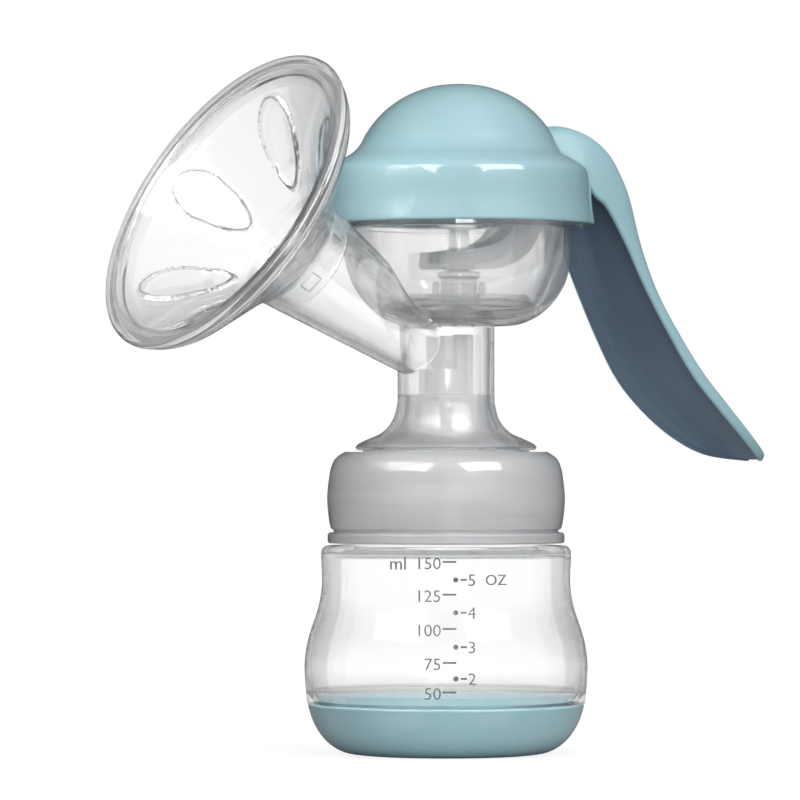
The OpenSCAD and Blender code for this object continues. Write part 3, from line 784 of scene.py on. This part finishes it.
def make_sleeve():
    outer = [(NOZZLE_R, 62), (NOZZLE_R, 72.6), (18.75, 72.6), (18.75, 74.2)]
    outer += spline([(18.75, 74.2), (16.4, 75.6), (14.2, 77.4), (12, 80.3), (10.7, 83.6),
                     (SLEEVE_R, 86.6)])[1:]
    outer += arc(SLEEVE_R - 0.4, SLEEVE_TOP - 0.4, 0.4, 0, 90, 4)
    outer += arc(AIR_TUBE_R + 0.8, SLEEVE_TOP + 0.8, 0.8, -90, -180, 4)
    outer += arc(AIR_TUBE_R - 0.3, AIR_TUBE_TOP - 0.3, 0.3, 0, 90, 3)
    inner = arc(AIR_TUBE_R - 1.1, AIR_TUBE_TOP - 0.3, 0.3, 90, 180, 3)
    inner += [(AIR_TUBE_R - 1.4, 88.2), (SLEEVE_R - 1.4, 87.4)]
    inner += spline([(SLEEVE_R - 1.4, 86.6), (9, 83.2), (10.2, 79.8), (12.2, 76.4)])
    inner += [(NOZZLE_R - 1.4, 73.4), (NOZZLE_R - 1.4, 62)]
    obj = lathe("milky_sleeve", outer + inner)
    holes = [lathe("drain", [(0, 87), (DRAIN_R, 87), (DRAIN_R, 91), (0, 91)],
                   place=Matrix.Rotation(radians(45 + 90 * k), 4, "Z")
                   @ Matrix.Translation((DRAIN_AT, 0, 0)), segments=24) for k in range(4)]
    low, high = WINDOW_Z
    window = prism("window", [(WINDOW_X - NECK_R, low), (WINDOW_X, low), (WINDOW_X, high),
                              (WINDOW_X - NECK_R, high)], WINDOW_HALF)
    combine(obj, holes + [window], "DIFFERENCE")
    finish_piece(obj, "pump_unit", "frosted_plastic", MILKY, "valve_sleeve")


DUCKBILL_POINTS = 64
DUCKBILL_STEPS = 14
DUCKBILL_THIN = 0.72        # how much closer the inner walls come at the slit


def duckbill_ring(r, flat, z, thin=0.0):
    """One ring of the duckbill, pressed flat across Y as flat goes from 0 to 1."""
    ring = []
    for k in range(DUCKBILL_POINTS):
        turn = tau * k / DUCKBILL_POINTS
        lip = (0.5 if sin(turn) > 0 else -0.5) * 2.0 * flat * min(1, abs(sin(turn)) * 3)
        y = r * sin(turn) * (1 - flat) + lip
        ring.append((r * cos(turn), y * (1 - thin * flat), z))
    return ring


def make_duckbill():
    """A sleeve over the nozzle whose walls flatten down to a slit."""
    r_out, r_in, r_throat = NOZZLE_R + 1.3, NOZZLE_R + SKIN, NOZZLE_R - 0.9
    top, waist, tip = 70, 62, 54
    levels = [((k / DUCKBILL_STEPS) ** 1.3, waist + (tip - waist) * k / DUCKBILL_STEPS)
              for k in range(1, DUCKBILL_STEPS + 1)]
    rings = [duckbill_ring(r, 0, z) for r, z in ((r_out, top), (r_out + 0.2, top - 0.6), (r_out, top - 1.4),
                                                 (r_out, waist))]
    rings += [duckbill_ring(r_out, flat, z) for flat, z in levels]
    rings += [duckbill_ring(r_throat, flat, z, DUCKBILL_THIN) for flat, z in levels[::-1]]
    rings += [duckbill_ring(r, 0, z) for r, z in ((r_throat, waist), (r_in, waist), (r_in, top))]
    count = DUCKBILL_POINTS
    verts = [v for r in rings for v in r]
    faces = [[i * count + k, i * count + (k + 1) % count, j * count + (k + 1) % count, j * count + k]
             for i in range(len(rings)) for j in [(i + 1) % len(rings)] for k in range(count)]
    obj = new_object("duckbill", verts, faces)
    finish_piece(obj, "pump_unit", "silicone", SILICONE, "duckbill_valve")


# ---- pump body ------------------------------------------------------------------------

bowl_curve = spline([(17, BOWL_Z + 0.9), (20.6, BOWL_Z + 2.9), (24, BOWL_Z + 6.3), (26.6, BOWL_Z + 10.6),
                     (27.9, BOWL_Z + 15.5), (BOWL_R, BOWL_Z + 20)])
bowl_outer = [(0, BOWL_Z), (12, BOWL_Z)]
bowl_outer += spline([(13, BOWL_Z), (15, BOWL_Z + 0.3), (17, BOWL_Z + 0.9)])[:-1] + bowl_curve
FLARE = ((15.2, 54.5), (17.6, 57.2), (21.5, 60.6), (37.6, HORN_LEN - 2.6))
THROAT = 52
PORT_R = 1.9
PORT_RING = (6, 7.4)        # inner and outer radius of the low ring around the port


def horn_r(t):
    """Outer radius of the horn's tube at a distance along its axis."""
    return 7.5 + 0.137 * t


def make_pump_body():
    rim = [(31.1, 131.2)] + arc(31.1, 131.6, 0.4, -90, 0, 3) + arc(31.1, 133, 0.4, 0, 90, 3)
    rim += [(29.6, 133.8), (29.6, RIM_Z - 0.4), (29.2, RIM_Z)]
    body = lathe("clear_body", bowl_outer + [(BOWL_R, 131.2)] + rim + [(0, RIM_Z)], on_bowl(), 160)
    bell = spline([(22.3, COLLAR_TOP + 1.8), (19.4, 78.6), (16.3, 80), (14.2, 82), (12.9, 84.4),
                   (NECK_R, 88)], 8)
    neck = lathe("neck", [(0, 68.2), (20, 68.2), (20, 71.4), (SPIGOT_R, 71.5), (SPIGOT_R, COLLAR_TOP + 0.3),
                          (22.3, COLLAR_TOP + 0.5)] + arc(22.1, COLLAR_TOP + 1.1, 0.5, -60, 60, 5) + bell[1:]
                 + [(NECK_R, BOWL_Z + 1), (0, BOWL_Z + 1)], segments=160)
    flare = spline([(horn_r(THROAT), THROAT), *FLARE])
    horn = lathe("horn", [(0, -6), (horn_r(0), 0), (horn_r(30), 30)] + flare + [(39.9, HORN_LEN - 1)]
                 + arc(39.4, HORN_LEN - 0.1, 0.5, 0, 90, 4) + [(0, HORN_LEN + 0.4)], on_horn(), 160)
    combine(body, [neck, horn], "UNION")
    bowl_in = [(0, BOWL_Z + WALL), (12.6, BOWL_Z + WALL)]
    bowl_in += spline([(16.2, BOWL_Z + WALL + 0.9), (19.4, BOWL_Z + 4.3), (22.5, BOWL_Z + 7.4),
                       (24.9, BOWL_Z + 11.4), (26.2, BOWL_Z + 16), (BOWL_R - WALL, BOWL_Z + 20)])
    cavity = lathe("bowl_cavity", bowl_in + [(BOWL_R - WALL, RIM_Z + 1), (0, RIM_Z + 1)], on_bowl(), 160)
    neck_in = [(0, 67), (18.9, 67), (18.9, COLLAR_TOP)]
    neck_in += spline([(18.4, COLLAR_TOP + 0.9), (15.6, 78.4), (13.2, 80.6), (11.6, 83.6),
                       (NECK_R - WALL, 88)], 8)
    neck_in += [(NECK_R - WALL, BOWL_Z - 0.6), (0, BOWL_Z - 0.6)]
    neck_cavity = lathe("neck_cavity", neck_in, segments=160)
    bore = spline([(horn_r(THROAT) - WALL, THROAT)] + [(r - WALL * 0.8, t + WALL * 0.6) for r, t in FLARE])
    horn_cavity = lathe("horn_cavity", [(0, -2), (horn_r(0) - WALL, 2), (horn_r(30) - WALL, 30)] + bore
                        + [(38.5, HORN_LEN - 0.6), (38.5, HORN_LEN + 2), (0, HORN_LEN + 2)], on_horn(), 160)
    keep = lathe("keep", bowl_outer + [(BOWL_R, RIM_Z), (0, RIM_Z)], on_bowl(), 160)
    combine(horn_cavity, [keep], "DIFFERENCE")
    port = lathe("port", [(0, BOWL_Z - 2), (PORT_R, BOWL_Z - 2), (PORT_R, BOWL_Z + 4), (0, BOWL_Z + 4)],
                 on_bowl(), 48)
    combine(body, [cavity, neck_cavity, horn_cavity, port], "DIFFERENCE")
    near, far = PORT_RING
    low, high = BOWL_Z + WALL - 0.05, BOWL_Z + WALL + 0.7
    ring = lathe("port_ring", rounded([(far, low), (far, high), (near, high), (near, low)], [0, 0.3, 0.3, 0]),
                 on_bowl())
    combine(body, [ring], "UNION")
    finish_piece(body, "pump_unit", "clear_plastic", CLEAR, "pump_body")


# ---- cushion --------------------------------------------------------------------------

CUSHION_FRONT = HORN_LEN + 3.38
TUNNEL_END = 47.2
TUNNEL_OUT = horn_r(TUNNEL_END) - WALL - FIT
TUNNEL_R = TUNNEL_OUT - 1.4
PETALS = 6
PETAL_MID_R = 24.3          # the petal's middle, as a radius and a distance along the horn's axis
PETAL_MID_T = 66.6
PETAL_HALF_LENGTH = 12
PETAL_HALF_WIDTH = 7.4
PETAL_BAND = (13, 37)       # the funnel's face carries petals between these radii
PETAL_EDGE = (0.93, 0.99)   # where the painted shade line along a petal's edge runs
FACE_SLOPE = 0.87           # the face rises this much per millimetre of radius
PETAL_PHASE = radians(13.5)
PETAL_RISE = 0.8
BEAD_RISE = 0.75


def petal_place(r, t, angle):
    """Where a point of the funnel lies in its petal: 0 at the middle, 1 on the edge of the pointed oval."""
    side = 1 if r > PETAL_MID_R else -1
    along = ((r - PETAL_MID_R) ** 2 + (t - PETAL_MID_T) ** 2) ** 0.5 * side / PETAL_HALF_LENGTH
    nearest = (angle - PETAL_PHASE) % (tau / PETALS)
    nearest = min(nearest, tau / PETALS - nearest)
    swell = 0.22 * along if along < 0 else 0.35 * along * (1 - along * 0.6)
    width = PETAL_HALF_WIDTH * (0.78 + swell)
    return (along * along + (nearest * r / max(width, 0.5)) ** 2) ** 0.5


def petal_height(d):
    """How far the silicone bulges there, with a fine bead along the petal's edge."""
    bead = BEAD_RISE * max(0.0, 1 - ((d - 0.96) / 0.10) ** 2)
    return bead + (PETAL_RISE * (1 - d * d) ** 0.6 if d < 1 else 0.0)


def cushion_zone(centre):
    """0 for a face of the cushion's thin wall, 1 for its thick rim, 2 for the painted shade line along a
    petal's edge.
    """
    x, y, t = centre / MM
    r = (x * x + y * y) ** 0.5
    if r > SHIELD_R - 5.5 and t > HORN_LEN - 1:
        return 1
    low, high = PETAL_EDGE
    edge = PETAL_BAND[0] < r < PETAL_BAND[1] and t > FACE_SLOPE * r + 44.8
    return 2 if edge and low < petal_place(r, t, atan2(y, x)) < high else 0


def make_cushion():
    back = [(TUNNEL_OUT - 0.4, TUNNEL_END), (TUNNEL_OUT, TUNNEL_END + 0.4)]
    back += spline([(TUNNEL_OUT + 0.05, 48), (horn_r(THROAT) - WALL - FIT, THROAT + 0.4)]
                   + [(r - WALL * 0.8 - FIT, t + WALL * 0.6 + FIT) for r, t in FLARE], 10)
    back += [(38.1, HORN_LEN - 0.4), (38.1, HORN_LEN + 0.7), (40.2, HORN_LEN + 0.7), (40.2, HORN_LEN + 0.1),
             (40.6, HORN_LEN)]
    rim = arc(SHIELD_R - 1, CUSHION_FRONT - 1, 1, -90, 90, 12) + [(SHIELD_R - 2.2, CUSHION_FRONT - 0.25)]
    rim += [(SHIELD_R - 4.2, CUSHION_FRONT - 0.2)]
    face = spline([(SHIELD_R - 4.8, CUSHION_FRONT - 0.6), (SHIELD_R - 6.2, CUSHION_FRONT - 2.2),
                   (26.9, 68.9), (18.6, 61.6), (14, 57.6), (TUNNEL_R + 0.6, 54.4), (TUNNEL_R, 50.6)], 30)
    outline = back + rim + face + [(TUNNEL_R, TUNNEL_END + 0.4), (TUNNEL_R + 0.4, TUNNEL_END)]
    obj = lathe("silicone_cushion", outline, segments=480, angle=50)
    for v in obj.data.vertices:
        x, y, t = v.co / MM
        r = (x * x + y * y) ** 0.5
        if PETAL_BAND[0] < r < PETAL_BAND[1] and t > 57 and t - (FACE_SLOPE * r + 45.2) > -0.6:
            rise = petal_height(petal_place(r, t, atan2(y, x)))
            if rise:
                shift = Vector((-x / r * 0.65, -y / r * 0.65, 0.76)) * rise
                v.co += shift * MM
    paint(obj.data, [cushion_zone(polygon.center) for polygon in obj.data.polygons])
    lugs = []
    for k in range(5):
        turn = Matrix.Rotation(radians(-90 + 34 + 72 * k), 4, "Z")
        lug = prism("lug", [(TUNNEL_OUT - 0.7, 49.4), (TUNNEL_OUT + 2, 49.4), (TUNNEL_OUT + 2, 52.6),
                            (TUNNEL_OUT - 0.7, 52.6)], 2.2)
        lug.data.transform(turn)
        lugs.append(lug)
    combine(obj, lugs, "DIFFERENCE")
    obj.data.transform(Matrix.Scale(MM, 4) @ on_horn() @ Matrix.Scale(1 / MM, 4))
    zones = [polygon.material_index for polygon in obj.data.polygons]
    finish_piece(obj, "cushion", "silicone", SILICONE, "massage_cushion")
    paint(obj.data, zones, (RIM, PETAL_SHADE_LINE))


# ---- diaphragm and stem ---------------------------------------------------------------

STEM_R = 2.5
STEM_HEAD_Z = 131


def make_diaphragm():
    outer = spline([(17.4, MEMBRANE_Z), (19.4, MEMBRANE_Z + 1.1), (20.9, MEMBRANE_Z + 3.4),
                    (23.4, MEMBRANE_Z + 9.2), (25.6, 129), (26.1, RIM_Z + SKIN)], 10)
    inner = spline([(18.4, MEMBRANE_Z + SILICONE_T), (19.6, MEMBRANE_Z + 3.8), (22.1, MEMBRANE_Z + 9.6),
                    (24.3, 129.2), (24.8, RIM_Z + SILICONE_T)], 10)
    outline = [(3, MEMBRANE_Z)] + outer + [(29.4, RIM_Z + SKIN), (29.4, RIM_Z + SILICONE_T)] + inner[::-1]
    obj = lathe("diaphragm_skin", outline + [(3, MEMBRANE_Z + SILICONE_T)], on_bowl(), 160)
    obj.data.materials.append(MEMBRANE)
    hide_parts("diaphragm")
    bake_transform(obj)


def make_plate():
    top = PLATE_Z + 2.8
    outline = [(4.55, PLATE_Z), (18.3, PLATE_Z)] + arc(18.2, PLATE_Z + 0.6, 0.4, -90, 60, 5)
    outline += [(17.4, top - 0.5), (17, top - 0.1), (16.2, top - 0.3), (10.5, top - 0.3), (10, top),
                (8.4, top), (8.2, top - 0.8), (6.2, top - 0.8), (6, top), (4.55, top)]
    obj = lathe("lift_plate", outline, on_bowl())
    pegs = [lathe("peg", [(0, top - 1.2), (0.8, top - 1.2), (0.8, top + 2.5), (0.5, top + 2.8),
                          (0, top + 2.8)],
                  on_bowl() @ Matrix.Translation((7.1 * side, 0, 0)), 24) for side in (-1, 1)]
    combine(obj, pegs, "UNION")
    ribs = [prism("rib", [(10.2, top - 0.5), (17, top - 0.5), (17, top - 0.12), (10.2, top - 0.12)], 0.5)
            for _ in range(8)]
    for k, rib in enumerate(ribs):
        rib.data.transform(Matrix.Scale(MM, 4) @ on_bowl() @ Matrix.Rotation(radians(22.5 + 45 * k), 4, "Z")
                           @ Matrix.Scale(1 / MM, 4))
    combine(obj, ribs, "UNION")
    finish_piece(obj, "stem", "frosted_plastic", PARTS, "diaphragm_plate")


def make_stem():
    outline = [(0, MEMBRANE_Z + 0.2), (STEM_R, MEMBRANE_Z + 0.2), (STEM_R, PLATE_Z), (4.5, PLATE_Z),
               (4.5, 118.2)]
    outline += rounded([(5.4, 118.9), (5.4, 119.9), (4.9, 120.3)], [0.2, 0.2, 0.2])
    outline += arc(STEM_R + 0.5, 121, 0.5, -90, -180, 4)
    outline += [(STEM_R, STEM_HEAD_Z - 0.4)] + arc(STEM_R + 0.4, STEM_HEAD_Z - 0.4, 0.4, 180, 90, 4)
    outline += arc(4, STEM_HEAD_Z + 0.7, 0.7, -90, 90, 8) + [(0, STEM_HEAD_Z + 1.6)]
    obj = lathe("pull_rod", outline, on_bowl(), 96)
    finish_piece(obj, "stem", "white_plastic", PARTS, "pull_stem")


def make_retainer():
    outline = rounded([(0, MEMBRANE_Z - 1.1), (8.6, MEMBRANE_Z - 1.1), (9, MEMBRANE_Z - 0.7),
                       (9, MEMBRANE_Z - SKIN), (0, MEMBRANE_Z - SKIN)], [0, 0.2, 0.2, 0, 0], 3)
    obj = lathe("foot_washer", outline, on_bowl())
    finish_piece(obj, "stem", "white_plastic", PARTS, "stem_retainer")


# ---- lever and hood -------------------------------------------------------------------

BRACKET_Z = RIM_Z + SILICONE_T + SKIN
BRACKET_H = 2.4
EAR_IN = ARM_W + 0.8
EAR_T = 2.8
EAR_R = 3.2
PIN_R = 1.5


def cross_cylinder(name, r, half, segments=48, bore=None, centre_y=0.0):
    """A turned piece on the lever's pivot line, which runs along Y."""
    place = Matrix.Translation((PIVOT.x, centre_y, PIVOT.z)) @ Matrix.Rotation(radians(90), 4, "X")
    low = 0 if bore is None else bore
    outline = [(low, -half), (r - 0.2, -half), (r, 0.2 - half), (r, half - 0.2), (r - 0.2, half), (low, half)]
    return lathe(name, outline, place, segments)


def make_bracket():
    obj = lathe("lever_mount", rounded([(29.4, BRACKET_Z), (29.4, BRACKET_Z + BRACKET_H),
                                        (25, BRACKET_Z + BRACKET_H), (25, BRACKET_Z)], 0.4), on_bowl())
    ears = []
    for side in (-1, 1):
        top = arc(PIVOT.x, PIVOT.z, EAR_R, 0, 180, 16)
        outline = top + [(PIVOT.x - 1.5, BRACKET_Z + 0.01), (PIVOT.x + 5.6, BRACKET_Z + 0.01),
                         (PIVOT.x + 5.6, BRACKET_Z + 2)]
        ears.append(prism("ear", outline, EAR_T / 2, side * (EAR_IN + EAR_T / 2), bevel=0.3))
    combine(obj, ears, "UNION")
    combine(obj, [cross_cylinder("hole", PIN_R, 30)], "DIFFERENCE")
    finish_piece(obj, "pump_unit", "blue_plastic", BLUE, "lever_bracket")


def make_pin():
    pin = cross_cylinder("hinge_pin", PIN_R - 0.02, EAR_IN + EAR_T - 0.2)
    finish_piece(pin, "pump_unit", "steel", STEEL, "pivot_pin")
    bushes = [cross_cylinder("washer", 2.8, 0.3, bore=PIN_R, centre_y=side * (ARM_W + 0.4))
              for side in (-1, 1)]
    obj = join(bushes[0], bushes[1:])
    obj.name = "thrust_washers"
    finish_piece(obj, "pump_unit", "white_plastic", WHITE, "pin_bushes")


# Middle line of the paddle's back (x, z), of its edges (x, z), and their half widths
STATIONS = ((21, 153, 22, 149.6, 4.5, 6), (26, 156.6, 25, 149.4, 6, 8), (32.5, 157.8, 28.5, 149.2, 7.4, 10),
            (39.5, 156, 32, 146.8, 8.4, 12), (45.5, 151.8, 34.6, 143, 9, 13.2),
            (49.3, 146, 37, 139.8, 9.3, 13.8), (51.8, 139.5, 40.6, 137, 9.4, 14),
            (54.6, 128, 46.3, 128, 9.4, 14.4), (59, 117, 52.3, 116.6, 9.4, 15),
            (65.2, 107, 59, 105.3, 9.6, 16), (73, 97, 66.3, 94.6, 9.8, 16.8),
            (82.3, 87.6, 74.6, 86.3, 9.6, 16.8), (90.8, 80, 83.4, 79.3, 8.4, 15.2),
            (97, 75.6, 91.5, 74.6, 5.6, 11.2), (99.8, 74, 99.2, 73, 1.2, 3.6))


def paddle_section(station):
    """One closed section of the open trough, with rounded rims and creases."""
    bx, bz, ex, ez, back, edge = station
    depth = ((bx - ex) ** 2 + (bz - ez) ** 2) ** 0.5
    t = min(SHELL_T, edge * 0.45)
    floor = max(depth - t, depth * 0.35)
    low = max(back * 1.2 - t, 0.15)
    outline = [(0, -edge), (0.45 * depth, -edge * 0.97), (0.85 * depth, -back * 1.22), (depth, -back * 0.6),
               (depth, back * 0.6), (0.85 * depth, back * 1.22), (0.45 * depth, edge * 0.97), (0, edge),
               (0, edge - t * 0.9), (0.4 * depth, edge * 0.97 - t), (floor, low), (floor, -low),
               (0.4 * depth, -edge * 0.97 + t), (0, -edge + t * 0.9)]
    radii = [0.8, 3, 4, 4, 4, 4, 3, 0.8, 0.8, 2, 2.5, 2.5, 2, 0.8]
    n = Vector((bx - ex, 0, bz - ez)).normalized()
    e = Vector((ex, 0, ez))
    return [e + n * along + Vector((0, across, 0)) for along, across in rounded(outline, radii, 5)]


def make_lever():
    sections = [paddle_section(s) for s in spline(STATIONS, 7)]
    count = len(sections[0])
    verts = [v for section in sections for v in section]
    faces = [[i * count + k, i * count + (k + 1) % count, (i + 1) * count + (k + 1) % count,
              (i + 1) * count + k]
             for i in range(len(sections) - 1) for k in range(count)]
    faces += [list(range(count)), [len(verts) - 1 - k for k in range(count)]]
    # Faces inside the trough take the darker blue, painted shade.
    painted_shade_faces = range(count * 8 // 14, count - 1)
    zones = [int(k in painted_shade_faces) for i in range(len(sections) - 1) for k in range(count)] + [0, 0]
    obj = new_object("squeeze_lever", verts, faces, angle=60, zones=zones)
    x = BOWL_X
    lower = spline([(x + 25.4, 147), (x + 25.2, 143.6), (x + 22.6, 139), (x + 21.8, 132), (x + 20.2, 128),
                    (x + 16, 123.9), (x + 11.5, 122), (x + 6, 121), (x - 7.4, 120.8)], 4)
    upper = spline([(x - 8, 125.2), (x - 4, 125.4), (x + 6, 127.2), (x + 10.5, 129.2), (x + 13.5, 133),
                    (x + 15, 140), (x + 16.6, 146), (x + 18, 152.6), (x + 24, 155.4), (x + 28, 155),
                    (x + 26, 151)], 4)
    arm = prism("arm", lower + [(x - 8.4, 121.4)] + upper, ARM_W)
    slot = prism("slot", [(x - 12, 119), (x + 12.5, 119), (x + 12.5, 131), (x - 12, 131)], 3)
    combine(arm, [slot], "DIFFERENCE")
    add_bevel(arm, 0.5, 2, 50)
    combine(arm, [cross_cylinder("boss", 3.8, ARM_W)], "UNION")
    combine(arm, [cross_cylinder("bore", PIN_R + 0.04, 20)], "DIFFERENCE")
    arm.name = "lever_fork"
    zones = [polygon.material_index for polygon in obj.data.polygons]
    finish_piece(obj, "lever", "blue_plastic", BLUE_LEVER, "lever_handle")
    paint(obj.data, zones, (BLUE_PAINTED_SHADE,))
    finish_piece(arm, "lever", "white_plastic", GREY, "lever_handle")


SLOT_H = 27.6               # the hood's opening for the lever
SLOT_HALF = 15.6


def make_hood():
    outer = arc(33.6, HOOD_BOTTOM + 0.4, 0.4, -90, 0, 4)
    outer += spline([(34, HOOD_BOTTOM + 0.5), (33.3, 138), (32.8, 143.6), (32, 146.4), (29.4, 148.5),
                     (26.6, 150.3), (24.7, 152.4), (23.3, 155), (21, 158.2), (17.6, 161.6), (12.6, 164.8),
                     (6.6, 166.9), (0, HOOD_TOP)], 10)
    inner = spline([(32.1, HOOD_BOTTOM + 0.6), (31.5, 138), (31, 143), (30.1, 145.2), (28, 146.9),
                    (25.2, 148.7), (23, 151), (21.4, 154), (19.4, 156.8), (16.2, 160), (11.8, 162.9),
                    (6.2, 165), (0, HOOD_TOP - 1.9)], 8)
    obj = lathe("domed_hood", outer + inner[::-1] + [(32.6, HOOD_BOTTOM)], on_bowl(), 192)
    ledge = BRACKET_Z + BRACKET_H + SKIN
    ring = lathe("ledge", [(31.6, ledge), (31.6, ledge + 1.6), (27.6, ledge + 1.6), (27.6, ledge)],
                 on_bowl(), 192)
    combine(obj, [ring], "UNION")
    top = HOOD_BOTTOM - 1 + SLOT_H
    opening = rounded([(-SLOT_HALF, 120), (SLOT_HALF, 120), (SLOT_HALF, top), (-SLOT_HALF, top)],
                      [0, 0, 4, 4], 6)
    cutter = between("opening", *([(x, y, z) for y, z in opening] for x in (BOWL_X + 17, BOWL_X + 47)))
    combine(obj, [cutter], "DIFFERENCE")
    finish_piece(obj, "cover", "blue_plastic", BLUE, "hood")


for make in (make_bottle, make_base, make_scale, make_base_seal, make_collar, make_snap_ring, make_mouth_seal,
             make_sleeve, make_duckbill, make_pump_body, make_cushion, make_diaphragm, make_plate, make_stem,
             make_retainer, make_bracket, make_pin, make_lever, make_hood):
    make()
